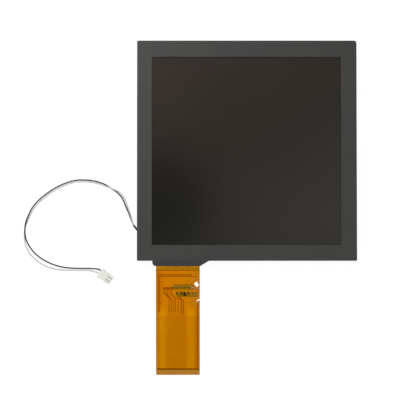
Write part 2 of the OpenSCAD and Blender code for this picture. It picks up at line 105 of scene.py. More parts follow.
def add(tree, kind, settings=None, links=None):
    """One node: settings holds its properties, input values or ramp stops; links its inputs."""
    node = tree.nodes.new("ShaderNode" + kind)
    for name, value in (settings or {}).items():
        if name == "stops":
            elements = node.color_ramp.elements
            while len(elements) < len(value):
                elements.new(0.5)
            for element, (place, colour) in zip(elements, value):
                element.position = place
                element.color = linear(colour)
        elif isinstance(name, int) or name in node.inputs:
            node.inputs[name].default_value = value
        else:
            setattr(node, name, value)
    for name, socket in (links or {}).items():
        tree.links.new(socket, node.inputs[name])
    return node


def finish(name, colour, roughness, **sockets):
    """A material with its shader's constant values set; returns it, its tree, shader and place."""
    made = bpy.data.materials.new(name)
    made.use_nodes = True
    tree = made.node_tree
    shader = tree.nodes["Principled BSDF"]
    shader.inputs["Base Color"].default_value = linear(colour)
    shader.inputs["Roughness"].default_value = roughness
    for socket, value in sockets.items():
        shader.inputs[socket.replace("_", " ")].default_value = value
    print("material", name)
    return made, tree, shader, add(tree, "TexCoord").outputs["Object"]


# %% What a pattern does to a surface
def per_metre(size_mm):
    """The texture scale at which a pattern repeats every size_mm."""
    return 1/(size_mm*MM)


def noise(tree, place, size_mm, detail):
    """A noise whose patches are about size_mm across, as a factor."""
    return add(tree, "TexNoise", {"Scale": per_metre(size_mm), "Detail": detail},
               {"Vector": place}).outputs["Fac"]


def warped(tree, place, size_mm, reach_mm):
    """The place pushed about by a noise, so that no edge laid out by it is ruled."""
    push = add(tree, "TexNoise", {"Scale": per_metre(size_mm), "Detail": 2}, {"Vector": place})
    return add(tree, "Mix", {"data_type": "RGBA", "blend_type": "ADD", 0: reach_mm*MM},
               {MIX_A: place, MIX_B: push.outputs["Color"]}).outputs[MIX_RESULT]


def ramp(tree, factor, *stops):
    """A factor turned into a colour."""
    return add(tree, "ValToRGB", {"stops": stops}, {"Fac": factor}).outputs["Color"]


def colour_by(tree, shader, factor, *stops):
    """The surface's colour follows a factor."""
    tree.links.new(ramp(tree, factor, *stops), shader.inputs["Base Color"])


def roughness_by(tree, shader, factor, low, high):
    """The surface's roughness follows a factor."""
    spread = add(tree, "MapRange", {"To Min": low, "To Max": high}, {"Value": factor})
    tree.links.new(spread.outputs["Result"], shader.inputs["Roughness"])


def relief_by(tree, shader, factor, strength, depth_mm):
    """The surface's relief follows a factor."""
    bump = add(tree, "Bump", {"Strength": strength, "Distance": depth_mm*MM},
               {"Height": factor})
    tree.links.new(bump.outputs["Normal"], shader.inputs["Normal"])


# %% Dressing solids and placing pieces
SHARP = math.radians(50)               # an edge that turns more than this isn't shaded round


def dress(material, *names):
    """Gives a material to CAD nodes by name."""
    for name in names:
        nodes[name].data.materials.clear()
        nodes[name].data.materials.append(material)


def place_piece(name, mesh, material, smooth=True):
    """Makes an object of a bmesh, in millimetres, and lets it ride on the module's body."""
    data = bpy.data.meshes.new(name)
    bmesh.ops.scale(mesh, vec=(MM, MM, MM), verts=mesh.verts)
    bmesh.ops.recalc_face_normals(mesh, faces=mesh.faces)
    for edge in mesh.edges:
        edge.smooth = edge.calc_face_angle(0) < SHARP
    mesh.to_mesh(data)
    mesh.free()
    data.materials.append(material)
    for face in data.polygons:
        face.use_smooth = smooth
    piece = new_object(name, data)
    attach(piece, BODY)
    print(name, "faces:", len(data.polygons))
    return piece


# %% [markdown]
# ## Backlight wires
# Two stranded hook-up wires carry the backlight's current. Their insulation is thin soft
# PVC, extruded round, so the real thing is a round tube along a smooth line. A curve
# with a round bevel is exactly that. The route's points are the solids' own, and
# a Catmull-Rom spline through them takes out the corners. No point may sink into the table,
# so its height is held at one wire's radius.

# %% Insulation of the wires
def vinyl(name, colour, roughness):
    """Extruded PVC: even colour, soft sheen, and faint drag lines from the die."""
    made, tree, shader, place = finish(name, colour, roughness, Specular_IOR_Level=0.4, IOR=1.53)
    roughness_by(tree, shader, noise(tree, place, 2.5, 3), roughness - 0.06, roughness + 0.08)
    relief_by(tree, shader, noise(tree, place, 0.12, 1), 0.15, 0.02)
    return made


black_vinyl = vinyl("black_vinyl_insulation", "#1c1d1e", 0.42)
white_vinyl = vinyl("white_vinyl_insulation", "#d9d9d4", 0.45)

# %% Routes of the wires
WIRE_D = 0.8
black_route = [
    [-60.16, -51.52, 1.1], [-60.88, -50.56, 1.1], [-61.6, -49.6, 1.25],
    [-66.25, -43.4, 0.6], [-67.35, -41.25, 0.42], [-68.3, -38.65, 0.4], [-69.3, -35.95, 0.4],
    [-70.65, -32.95, 0.4], [-71.85, -29.95, 0.4], [-73.4, -27, 0.4], [-76, -24.3, 0.4],
    [-79.4, -21.9, 0.4], [-83.2, -19.6, 0.4], [-87.2, -18.1, 0.4], [-91.2, -17.3, 0.4],
    [-95.2, -17, 0.4], [-99.2, -17.1, 0.4], [-103.2, -17.9, 0.4], [-107.8, -19.5, 0.4],
    [-112.2, -21.7, 0.4], [-116.4, -24.4, 0.4], [-120.2, -27.3, 0.4],
    [-123.3, -30.3, 0.4], [-125.7, -33.4, 0.5], [-127.4, -36.8, 0.85],
    [-128.9, -40.5, 1.2], [-129.7, -44.2, 1.3], [-129.8, -48, 1.25], [-129.1, -52, 0.8],
    [-127.2, -56, 0.4], [-124, -60, 0.4], [-119.2, -63.7, 0.4], [-113.6, -66.4, 0.4],
    [-107.6, -68.1, 0.4], [-101.4, -68.7, 0.4], [-95.2, -68.8, 0.6],
    [-90, -68.9, 1.3], [-86.38, -69.34, 2], [-83.82, -71.26, 2],
]
white_route = [
    [-61.4, -53.8, 1.05], [-61.4, -52.8, 1.05], [-61.5, -51.6, 1.5],
    [-61.55, -50.6, 1.95], [-61.6, -49.6, 2.09], [-66.25, -43.4, 1.44],
    [-67.05, -41.25, 1.33], [-67.7, -38.6, 1.25], [-68.6, -35.8, 1.1], [-69.75, -32.8, 0.95],
    [-70.85, -29.8, 0.75], [-72.4, -26.6, 0.7], [-75.1, -23.9, 1.16], [-79, -22, 1.33],
    [-83, -20.6, 1.15], [-87.2, -19.1, 0.4], [-91.2, -18.3, 0.4], [-95.2, -18, 0.4],
    [-99.2, -18.1, 0.4], [-103.2, -18.9, 0.4], [-107.4, -20.4, 0.4],
    [-111.8, -22.6, 0.4], [-115.9, -25.3, 0.4], [-119.6, -28.2, 0.4],
    [-122.6, -31.1, 0.4], [-125, -34.1, 0.4], [-126.7, -37.3, 0.4], [-128.4, -41, 0.4],
    [-129.7, -44.6, 0.4], [-130.3, -48.6, 0.4], [-130, -52.8, 0.4],
    [-128.7, -57.3, 0.4], [-125.8, -61.6, 0.4], [-121, -65.7, 0.4], [-114.6, -68.6, 0.4],
    [-107.6, -69.7, 0.4], [-98, -69.9, 0.5], [-91.5, -70.1, 1.1], [-87.18, -71.24, 2],
    [-85.02, -72.86, 2],
]
SLEEVE_IN = Vector(black_route[2])
SLEEVE_OUT = Vector(black_route[3])
WHITE_SLEEVE_OUT = Vector(white_route[5])
print("route points:", len(black_route), "and", len(white_route))


# %% Round wires along their routes
ROUTE_STEPS = 6                        # points of the smooth line from one route point to the next


def smooth_line(route):
    """Points of a Catmull-Rom spline through the route, none below one wire's radius and
    none further out than the route's own leftmost point."""
    knots = [Vector(p) for p in route]
    knots = [2*knots[0] - knots[1]] + knots + [2*knots[-1] - knots[-2]]
    line = []
    for a, b, c, d in zip(knots, knots[1:], knots[2:], knots[3:]):
        for step in range(ROUTE_STEPS):
            t = step/ROUTE_STEPS
            line.append(0.5*(2*b + (c - a)*t + (2*a - 5*b + 4*c - d)*t**2
                             + (3*b - a - 3*c + d)*t**3))
    line.append(knots[-2])
    leftmost = min(p[0] for p in route)
    for point in line:
        point.x = max(point.x, leftmost)
        point.z = max(point.z, WIRE_D/2)
    return line


def wire(name, route, material, node):
    """A round wire along its route, standing for its CAD solid."""
    line = smooth_line(route)
    data = bpy.data.curves.new(name, "CURVE")
    data.dimensions = "3D"
    data.bevel_depth = WIRE_D/2*MM
    data.bevel_resolution = 4
    data.use_fill_caps = True
    spline = data.splines.new("POLY")
    spline.points.add(len(line) - 1)
    for knot, point in zip(spline.points, line):
        knot.co = (*(point*MM), 1)
    spline.use_smooth = True
    data.materials.append(material)
    piece = new_object(name, data)
    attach(piece, BODY)
    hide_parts(node)
    print(name, "length mm:", round(sum((b - a).length for a, b in zip(line, line[1:])), 1))
    return piece


black_wire = wire("black_lead", black_route, black_vinyl, "wire_black")
white_wire = wire("white_lead", white_route, white_vinyl, "wire_white")

# %% [markdown]
# ## Table and light
# The table is a plain white sheet. Seen straight on it shows as pure white, and it still
# takes the module's soft shadow, because part of it stays an ordinary matt surface. A
# square softbox at the upper left is the main light, and a weaker one at the lower right
# lifts that corner.

# %% Paper of the table
WHITE_SHARE = 0.9                      # how much of the table's look is the plain white
TABLE_WHITE = 1.05                     # lifts what the lamps leave dim to plain white

table_material = bpy.data.materials.new("white_paper_table")
table_material.use_nodes = True
table_tree = table_material.node_tree
table_tree.nodes.clear()
table_matt = add(table_tree, "BsdfDiffuse", {"Color": linear("#f4f4f2")})
table_white = add(table_tree, "Emission", {"Color": (1, 1, 1, 1), "Strength": TABLE_WHITE})
rays = add(table_tree, "LightPath")
seen = add(table_tree, "Math", {"operation": "MAXIMUM"},
           {0: rays.outputs["Is Camera Ray"], 1: rays.outputs["Is Glossy Ray"]})
seen_through = add(table_tree, "Math", {"operation": "MAXIMUM"},
                   {0: seen.outputs[0], 1: rays.outputs["Is Transmission Ray"]})
white_part = add(table_tree, "Math", {"operation": "MULTIPLY", 1: WHITE_SHARE},
                 {0: seen_through.outputs[0]})
table_mix = add(table_tree, "MixShader", None,
                {0: white_part.outputs[0], 1: table_matt.outputs[0], 2: table_white.outputs[0]})
add(table_tree, "OutputMaterial", None, {"Surface": table_mix.outputs[0]})
print("table nodes:", len(table_tree.nodes))

# %% Sheet of the table
TABLE_SIDE = 3.0
TABLE_DROP = 0.02*MM                   # keeps the table's plane off the module's own base
table_mesh = bmesh.new()
bmesh.ops.create_grid(table_mesh, x_segments=1, y_segments=1, size=TABLE_SIDE/2)
bmesh.ops.translate(table_mesh, vec=(0, 0, -TABLE_DROP), verts=table_mesh.verts)
table_data = bpy.data.meshes.new("table")
table_mesh.to_mesh(table_data)
table_mesh.free()
table_data.materials.append(table_material)
table = new_object("table", table_data)
print("table side in metres:", TABLE_SIDE)


# %% Lamps
def softbox(name, place, side, power):
    """A square area lamp at place, in metres, aimed at the middle of the panel."""
    data = bpy.data.lights.new(name, "AREA")
    data.shape = "SQUARE"
    data.size = side
    data.energy = power
    lamp = new_object(name, data)
    lamp.location = place
    lamp.rotation_euler = Vector(place).to_track_quat("Z", "Y").to_euler()
    print(name, "watts:", power)


softbox("key_softbox", (-0.46, 0.38, 0.78), 0.24, 5.1)
softbox("fill_softbox", (0.55, -0.5, 0.6), 0.6, 1.8)

# %% [markdown]
# ## Room
# A satin display is mostly a mirror of the room, so the room is built for it. The walls
# are pale low down and fall to near black overhead. Straight above hangs a warm, bright
# ceiling, a little brighter at both of its ends, which gives the display its slow brown
# sheen. The camera and its arm leave a soft dark spot in that ceiling. The ceiling stops
# short over the tail, because its film would pick up a haze there. Modelled walls could
# do the same, but a world shader lights every view alike and holds no geometry.

# %% Limits in the room
OVERHEAD = (0.94, 0.98)                # sine of the height at which the ceiling begins and is full
NEAR_SIDE = (-0.075, -0.03)            # how far the ceiling reaches over the tail's side
GLOW_AXIS = (-0.6, 0.8, 0)             # across the ceiling, from its far corner to the key lamp
GLOW_ENDS = (-0.1, 0.2)                # lean along that axis at which its tones begin and end
WALL_LIGHT = (0.75, 0.06)              # at the height of the table, and straight above
RIG_AT = Vector((-0.04, 0.015, 1)).normalized()
RIG_EDGE = (0.038, 0.064)              # the camera and its arm, as a soft dark spot overhead

room = bpy.data.worlds.new("studio_room")
bpy.context.scene.world = room
room.use_nodes = True
room_tree = room.node_tree
room_tree.nodes.clear()


def soft_step(value, limits):
    """0 before the first limit, 1 past the second, and a soft change between them."""
    return add(room_tree, "MapRange", {"interpolation_type": "SMOOTHSTEP",
                                       "From Min": limits[0], "From Max": limits[1]},
               {"Value": value}).outputs["Result"]


# %% Walls, ceiling and camera rig
sky = add(room_tree, "TexCoord").outputs["Generated"]
toward = add(room_tree, "SeparateXYZ", None, {0: sky})
walls = add(room_tree, "MapRange", {"To Min": WALL_LIGHT[0], "To Max": WALL_LIGHT[1]},
            {"Value": toward.outputs["Z"]})
wall_light = add(room_tree, "Background", {"Color": (1, 1, 1, 1)}, {"Strength": walls.outputs[0]})
lean = add(room_tree, "VectorMath", {"operation": "DOT_PRODUCT", 1: GLOW_AXIS}, {0: sky})
glow = add(room_tree, "MapRange", {"From Min": GLOW_ENDS[0], "From Max": GLOW_ENDS[1]},
           {"Value": lean.outputs["Value"]})
ceiling = ramp(room_tree, glow.outputs["Result"],
               (0.0, "#ece2cd"), (0.35, "#bcb09b"), (0.6, "#c2ac93"), (0.95, "#fddace"))
from_rig = add(room_tree, "VectorMath", {"operation": "DISTANCE", 1: RIG_AT}, {0: sky})
ceiling_light = add(room_tree, "Background", None,
                    {"Color": ceiling, "Strength": soft_step(from_rig.outputs["Value"], RIG_EDGE)})
is_ceiling = add(room_tree, "Math", {"operation": "MULTIPLY"},
                 {0: soft_step(toward.outputs["Z"], OVERHEAD),
                  1: soft_step(toward.outputs["Y"], NEAR_SIDE)})
room_light = add(room_tree, "MixShader", None,
                 {0: is_ceiling.outputs[0], 1: wall_light.outputs[0],
                  2: ceiling_light.outputs[0]})

# %% Plain white behind everything
room_white = add(room_tree, "Background", {"Color": (1, 1, 1, 1), "Strength": 1.0})
room_rays = add(room_tree, "LightPath")
room_mix = add(room_tree, "MixShader", None,
               {0: room_rays.outputs["Is Camera Ray"], 1: room_light.outputs[0],
                2: room_white.outputs[0]})
add(room_tree, "OutputWorld", None, {"Surface": room_mix.outputs[0]})
bpy.context.scene.view_settings.view_transform = "Standard"
print("room nodes:", len(room_tree.nodes))

# %% [markdown]
# ## Bezel
# The bezel is pressed from thin steel and coated before pressing with a dark grey baked
# enamel. It is matt but not dead: it has a faint orange peel a quarter of a millimetre
# across, and handling leaves slow cloudy patches in its sheen. A Principled shader with
# a fine bump and two slow noises gives both, and the solid keeps its true folded edges.

# %% Baked enamel
enamel, tree, shader, place = finish("baked_enamel_on_steel", "#373837", 0.5, IOR=1.5)
colour_by(tree, shader, noise(tree, place, 26, 3), (0.3, "#373938"), (0.7, "#3b3b39"))
roughness_by(tree, shader, noise(tree, place, 9, 5), 0.44, 0.58)
relief_by(tree, shader, noise(tree, place, 0.25, 2), 0.25, 0.02)
dress(enamel, "front_bezel")

# %% [markdown]
# ## Display face
# What shows in the window is the front polarizer, a film with a satin hard coat, bonded
# on the cell. It is near black when the backlight is off, because the polarizers are
# crossed, and its coat keeps a reflection in shape but softens it. A dark base of low
# roughness does that, and all the slow change of tone is then the room's own. Behind it
# lie the colour filter's cells, which show close up as a very fine grid of slightly
# lighter lines. A glass over a modelled grid would cost much and look the same.

# %% Satin polarizer
CELL = 0.3                             # a real cell is finer; this is as fine as shows
polarizer, tree, shader, place = finish("satin_polarizer_film", "#1c1d1c", 0.12, IOR=1.49)
cells = add(tree, "TexBrick", {
    "Scale": 1.0, "Brick Width": CELL*MM, "Row Height": CELL*MM, "Mortar Size": 0.02*MM,
    "offset": 0.0, "Color1": (0, 0, 0, 1), "Color2": (0, 0, 0, 1), "Mortar": (1, 1, 1, 1)},
    {"Vector": place})
grid = add(tree, "Mix", {"data_type": "RGBA", "blend_type": "ADD", 0: 0.006},
           {MIX_A: ramp(tree, noise(tree, place, 60, 1), (0.35, "#1a1b1b"), (0.65, "#1d1e1d")),
            MIX_B: cells.outputs["Color"]})
tree.links.new(grid.outputs[MIX_RESULT], shader.inputs["Base Color"])
relief_by(tree, shader, noise(tree, place, 0.1, 1), 0.1, 0.01)
dress(polarizer, "front_polarizer", "rear_polarizer")

# %% [markdown]
# ## Cell and backlight
# Most of these pieces are hidden once the bezel is on. They could share one grey, but the
# module can be taken apart, so each is finished as what it is: float glass, bare silicon,
# matt white polyester, ribbed prism sheet, clear acrylic, satin white polycarbonate. A
# short procedural finish on the true solid is enough for each.

# %% Float glass
# Drawn flat on tin and polished by fire: clear, faintly green, with a thin film from handling.
glass, tree, shader, place = finish("thin_float_glass", "#c9d6d0", 0.04, IOR=1.52,
                                    Transmission_Weight=0.9)
roughness_by(tree, shader, noise(tree, place, 14, 3), 0.03, 0.09)
dress(glass, "color_filter_glass", "tft_glass")

# %% Bare silicon
# Ground thin on its back: dark grey with a metallic gleam and fine lapping marks.
silicon, tree, shader, place = finish("bare_silicon", "#24262b", 0.2, IOR=1.8)
colour_by(tree, shader, noise(tree, place, 0.2, 4), (0.4, "#212329"), (0.6, "#2a2c33"))
dress(silicon, "driver_chips")

# %% White polyester sheets
# Coated with fine beads: dead matt, with slow clouds from the voids inside.
polyester, tree, shader, place = finish("matt_white_polyester", "#ecece8", 0.75)
relief_by(tree, shader, noise(tree, place, 0.08, 2), 0.2, 0.01)
colour_by(tree, shader, noise(tree, place, 18, 1), (0.3, "#e8e8e3"), (0.7, "#f0f0ed"))
dress(polyester, "top_diffuser", "bottom_diffuser", "reflector_sheet")

# %% Prism sheets
# Cast with straight ribs, which turn a highlight into a streak across them.
PRISM_PITCH = 0.15                     # real prisms are 0.05 mm apart, too fine to show
for name, direction in (("prism_sheet_lower", "X"), ("prism_sheet_upper", "Y")):
    prism, tree, shader, place = finish("ribbed_" + name, "#dfe5e8", 0.25, IOR=1.57)
    ribs = add(tree, "TexWave", {"bands_direction": direction, "wave_profile": "TRI",
                                 "Scale": per_metre(PRISM_PITCH)/20*math.pi},
               {"Vector": place})
    relief_by(tree, shader, ribs.outputs["Fac"], 0.6, 0.05)
    dress(prism, name)

# %% Acrylic light guide
# Polished clear plate with small etched dots that look frosted.
DOT_PITCH = 0.9
acrylic, tree, shader, place = finish("clear_acrylic", "#e9f2f2", 0.06, IOR=1.49,
                                      Transmission_Weight=0.8)
dots = add(tree, "TexVoronoi", {"Scale": per_metre(DOT_PITCH), "Randomness": 0.1},
           {"Vector": place})
colour_by(tree, shader, dots.outputs["Distance"], (0.2, "#ffffff"), (0.3, "#e2eeee"))
dress(acrylic, "light_guide_plate")

# %% White polycarbonate
# Moulded against a spark-eroded tool: an even satin with slow flow clouds.
carbonate, tree, shader, place = finish("satin_white_polycarbonate", "#e6e6df", 0.45, IOR=1.58)
relief_by(tree, shader, noise(tree, place, 0.15, 2), 0.3, 0.01)
colour_by(tree, shader, noise(tree, place, 12, 2), (0.3, "#e2e2da"), (0.7, "#ebebe5"))
dress(carbonate, "mold_frame")

# %% Foam gasket
# Skived foam: open pores at the face, so it swallows light. Its colour darkens into each pore's
# hollow, which is painted shade.
foam, tree, shader, place = finish("closed_cell_foam", "#17181a", 0.92)
pores = add(tree, "TexVoronoi", {"Scale": per_metre(0.15)}, {"Vector": place}).outputs["Distance"]
relief_by(tree, shader, pores, 0.7, 0.04)
colour_by(tree, shader, pores, (0.0, "#0e0f10"), (0.5, "#1e2022"))
dress(foam, "bezel_gasket")

# %% LED strip
# Screen-printed white mask, a little wavy over the glass weave below it.
mask, tree, shader, place = finish("white_solder_mask", "#e4e1d6", 0.4)
relief_by(tree, shader, noise(tree, place, 0.5, 3), 0.3, 0.02)
dress(mask, "led_strip_board")

# A glossy white moulding with a grainy yellow window of phosphor in its lit face.
PHOSPHOR_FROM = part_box("leds")[1].x - 0.35*MM    # the window's depth in from the lit face
package, tree, shader, place = finish("led_package_and_phosphor", "#f2efe2", 0.35)
across = add(tree, "SeparateXYZ", None, {0: place}).outputs["X"]
window = add(tree, "Math", {"operation": "GREATER_THAN", 1: PHOSPHOR_FROM}, {0: across})
phosphor = ramp(tree, noise(tree, place, 0.1, 3), (0.3, "#e8d24a"), (0.7, "#f2e070"))
lit_face = add(tree, "Mix", {"data_type": "RGBA", MIX_A: linear("#f2efe2")},
               {0: window.outputs[0], MIX_B: phosphor})
tree.links.new(lit_face.outputs[MIX_RESULT], shader.inputs["Base Color"])
dress(package, "leds")

# %% Solder and tin
# Solder frozen bright, with a frosty grain.
solder, tree, shader, place = finish("bright_solder", "#c6c8ca", 0.28, Metallic=1.0)
frost = noise(tree, place, 0.2, 4)
roughness_by(tree, shader, frost, 0.18, 0.42)
relief_by(tree, shader, frost, 0.2, 0.02)
dress(solder, "solder_joints")

# Drawn strip plated with tin: a soft silver gleam.
tin, tree, shader, place = finish("tin_plated_bronze", "#cfd1d2", 0.3, Metallic=1.0)
roughness_by(tree, shader, noise(tree, place, 0.15, 3), 0.22, 0.4)
dress(tin, "plug_contacts")

# Tin painted straw brown, which is a painted reflection of the amber film round it. It keeps its
# gleam.
dull_tin, tree, shader, place = finish("tin_with_painted_amber_reflection", "#b09038", 0.5, Metallic=1.0)
colour_by(tree, shader, noise(tree, place, 0.5, 3), (0.35, "#957818"), (0.65, "#bd9c38"))

# %% [markdown]
# ## Rear chassis
# The back is a tray of hot-dip galvanised steel, left bare. Zinc freezes into spangles
# a few millimetres across that differ a little in brightness and sheen, with faint
# rolling lines along the sheet. A Voronoi pattern gives each spangle its own tone.

# %% Galvanised steel
SPANGLE = 5.0
zinc, tree, shader, place = finish("galvanised_steel", "#b5b8ba", 0.4, Metallic=1.0)
spangle = add(tree, "TexVoronoi", {"Scale": per_metre(SPANGLE)},
              {"Vector": warped(tree, place, 3, 1.2)}).outputs["Color"]
colour_by(tree, shader, spangle, (0.0, "#abafb1"), (0.5, "#b6b9bb"), (1.0, "#c0c2c4"))
roughness_by(tree, shader, spangle, 0.34, 0.46)
stretched = add(tree, "Mapping", {"Scale": (1, 0.02, 1)}, {"Vector": place})
relief_by(tree, shader, noise(tree, stretched.outputs["Vector"], 0.3, 3), 0.15, 0.01)
dress(zinc, "rear_chassis")

# %% [markdown]
# ## Black tape
# A strip of black polyester tape covers the flex where it comes out from under the bezel.
# It is thin, matt and close to the enamel in tone, with a fine grain from drawing the film
# and faint finger marks. Its form is the solid's, so two noises are all that it needs.

# %% Black polyester tape
tape, tree, shader, place = finish("black_polyester_tape", "#373839", 0.5, IOR=1.5)
relief_by(tree, shader, noise(tree, place, 0.4, 4), 0.2, 0.02)
colour_by(tree, shader, noise(tree, place, 5, 3), (0.3, "#363839"), (0.7, "#3c3d3d"))
dress(tape, "rim_tape", "root_tape")

# %% [markdown]
# ## Flex tail: its shape
# The tail is a polyimide film with copper inside. It leaves under the tape, droops like
# a springy strip clamped at one end, and its tip rests on the table. Handling has left
# two small kinks at its right edge. One function gives the height of its underside at
# any place, and the film, its cover layer, copper and pads are all draped with it, so
# they stay on each other everywhere. A cloth simulation could find the droop too, but
# a clamped strip has a known formula, and the solid follows the same one.

# %% Places on the film
bezel_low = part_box("front_bezel")[0]/MM
flex_low, flex_high = (corner/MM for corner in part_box("flex_circuit"))
stiff_low, stiff_high = (corner/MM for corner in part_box("contact_stiffener"))
FILM_T = 0.12
LEDGE_Z = flex_high.z - FILM_T
EXIT_Y = bezel_low.y
TIP_Y = flex_low.y
TAIL_LEN = EXIT_Y - TIP_Y
TAIL_X = (stiff_low.x + stiff_high.x)/2
TAIL_HALF = (stiff_high.x - stiff_low.x)/2 + 0.1   # a little wider than its stiffener
STIFFENER_T = 0.203                    # with its glue line
PART_FLAT = (12.4, 23.2)               # stretch kept flat by the stiffener under the chips
END_FLAT = (TAIL_LEN - 6, TAIL_LEN)    # stretch kept flat by the stiffener at the contacts
TAPER_LEN = 2.5                        # the root's right edge narrows to the tail over this
TAPER_LEFT = 1.0                       # and its left edge starts to, this far below the bezel
TIP_R = 0.9
print("film from", round(flex_high.y, 2), "to", round(TIP_Y, 2), "mm, tail", round(2*TAIL_HALF, 2))

# %% Droop of the film
def cantilever(s):
    """Height of the drooping strip's underside, s along from the bezel."""
    u = s/TAIL_LEN
    return LEDGE_Z - (LEDGE_Z - STIFFENER_T)*(u**4 - 4*u**3 + 6*u**2)/3


def droop(s):
    """The same, with the two stiffened stretches straight and the part inside level."""
    if s <= 0:
        return LEDGE_Z
    for a, b in (PART_FLAT, END_FLAT):
        if a < s < b:
            return cantilever(a) + (cantilever(b) - cantilever(a))*(s - a)/(b - a)
    return cantilever(s)


print("underside from", round(droop(0), 2), "down to", round(droop(TAIL_LEN), 2), "mm")

# %% The two kinks
KINK_AT = Vector((-29.3, -77.9))       # middle of the larger kink's lit side
NICK_AT = Vector((-28.6, -87.3))       # a shorter crease nearer the tip
# each one's middle, half its lit side's width, and where along it it begins and ends
CREASES = ((KINK_AT, 1.4, -4.8, 1.9), (NICK_AT, 0.5, -2.2, 1.9))
UPHILL = Vector((0.57, -0.82))         # square to both creases
ALONG_CREASE = Vector((-UPHILL.y, UPHILL.x))
KINK_SLOPE = 0.42
KINK_FADE = 0.8                        # length over which each end of a crease dies out
NARROWS_AT = -1.0                      # before this place a crease's lit side gets narrower,
NARROWING = 0.9                        # by this much for each mm,
NARROWEST = 0.36                       # but never below this half width,
NARROW_SHIFT = 0.3                     # and this share of the loss moves its middle uphill


def fold(t, half):
    """A ridge's height: a straight rise of one slope over 2*half, then a rounded fall."""
    if t < -half or t > 3*half:
        return 0
    if t < half:
        return KINK_SLOPE*(t + half)
    return KINK_SLOPE*2*half*(0.5 + 0.5*math.cos(math.pi*(t - half)/(2*half)))


def kink(x, y):
    """Height that the two kinks add to the film."""
    lift = 0
    for at, half, begin, end in CREASES:
        off = Vector((x, y)) - at
        w = off.dot(ALONG_CREASE)
        narrow = max(NARROWEST, min(half, half + NARROWING*(w - NARROWS_AT)))
        fade = min(1, max(0, (w - begin)/KINK_FADE))*min(1, max(0, (end - w)/KINK_FADE))
        lift += fade*fold(off.dot(UPHILL) - NARROW_SHIFT*(half - narrow), narrow)
    return lift


print("kink's height in mm:", round(kink(*(KINK_AT + UPHILL*CREASES[0][1])), 2))


# %% Height and edges of the film
def film_z(x, y):
    """Height of the film's underside at a place in plan."""
    return droop(EXIT_Y - y) + kink(x, y)


def film_edges(y):
    """Left and right edge of the film at y: the root, its taper, the tail and its tip."""
    tail = (TAIL_X - TAIL_HALF, TAIL_X + TAIL_HALF)
    above = y - (EXIT_Y - TAPER_LEN)
    if above > 0:
        left = min(1, above/(TAPER_LEN - TAPER_LEFT))
        right = min(1, above/TAPER_LEN)
        return tail[0] + left*(flex_low.x - tail[0]), tail[1] + right*(flex_high.x - tail[1])
    depth = TIP_R - (y - TIP_Y)
    inset = TIP_R - math.sqrt(TIP_R**2 - depth**2) if depth > 0 else 0
    return tail[0] + inset, tail[1] - inset


# %% Places on a grid
STEP = 0.33                            # fine enough to bend smoothly over the kinks


def rows_between(high, low, step=STEP):
    """Evenly spaced places from high down to low, both ends included."""
    count = max(1, math.ceil((high - low)/step))
    return [high + (low - high)*i/count for i in range(count + 1)]


def spread_x(left, right):
    """Places from left to right about one step apart."""
    count = max(1, round((right - left)/STEP))
    return [left + (right - left)*i/count for i in range(count + 1)]


# %% Sheets that follow the film
def rim(layer):
    """The outer verts of a grid, in order round it."""
    return (layer[0] + [row[-1] for row in layer[1:]] + layer[-1][-2::-1]
            + [row[0] for row in layer[-2:0:-1]])


def join_rings(mesh, a, b):
    """Faces between two rings of as many verts."""
    for k in range(len(a)):
        j = (k + 1) % len(a)
        mesh.faces.new((a[k], a[j], b[j], b[k]))


def drape(mesh, rows, bottom, top):
    """A closed sheet over the film. rows lists (y, xs); bottom and top are heights above
    the film's underside."""
    over, under = [[[mesh.verts.new((x, y, film_z(x, y) + height)) for x in xs]
                    for y, xs in rows] for height in (top, bottom)]
    for layer in (over, under):
        for upper, lower in zip(layer, layer[1:]):
            for i in range(len(upper) - 1):
                mesh.faces.new((upper[i], upper[i + 1], lower[i + 1], lower[i]))
    join_rings(mesh, rim(over), rim(under))


def drape_box(mesh, left, right, high, low, bottom, top):
    """A draped rectangle."""
    drape(mesh, [(y, spread_x(left, right)) for y in rows_between(high, low)], bottom, top)


# %% Tracks that follow the film
def drape_path(mesh, points, width, bottom, top):
    """A draped track of even width along a path in plan, with mitred bends."""
    path = [Vector(points[0])]
    for a, b in zip(points, points[1:]):
        a, b = Vector(a), Vector(b)
        count = max(1, math.ceil((b - a).length/STEP))
        path += [a + (b - a)*i/count for i in range(1, count + 1)]
    rings = []
    for i, spot in enumerate(path):
        before = (spot - path[i - 1]).normalized() if i else (path[1] - spot).normalized()
        after = (path[i + 1] - spot).normalized() if i < len(path) - 1 else before
        along = (before + after).normalized()
        side = Vector((-along.y, along.x))*width/2/max(0.5, along.dot(after))
        ring = []
        for edge, height in ((side, bottom), (side, top), (-side, top), (-side, bottom)):
            x, y = spot + edge
            ring.append(mesh.verts.new((x, y, film_z(x, y) + height)))
        rings.append(ring)
    for near, far in zip(rings, rings[1:]):
        join_rings(mesh, near, far)
    mesh.faces.new(rings[0])
    mesh.faces.new(rings[-1][::-1])


# %% [markdown]
# ## Flex tail: its finish
# Polyimide film is amber and very slightly cloudy. Its face is dulled by the laminating
# press, so it reflects little, but where a crease has bent and burnished it, it glints.
# Where copper lies under it the film looks golden, where there is none it looks olive
# brown. Copper fills the tail in broad bands, so its tone changes across the width and
# a little along the length. A real film lets light through to its copper, but layers that
# thin render slowly and noisily. So the cover is opaque, and two ramps along X give its
# tones, one for the part near the bezel and one for the rest, blended along Y, with a slow
# noise so that no edge is ruled.

# %% Gloss of the film
FILM_GLOSS = 0.04                      # specular level of the film's slightly dulled face
CREASE_GLOSS = 0.6                     # and where a crease has burnished it
BURNISHED = (3, 5)                     # mm from a crease's middle: still glossy, and dull again


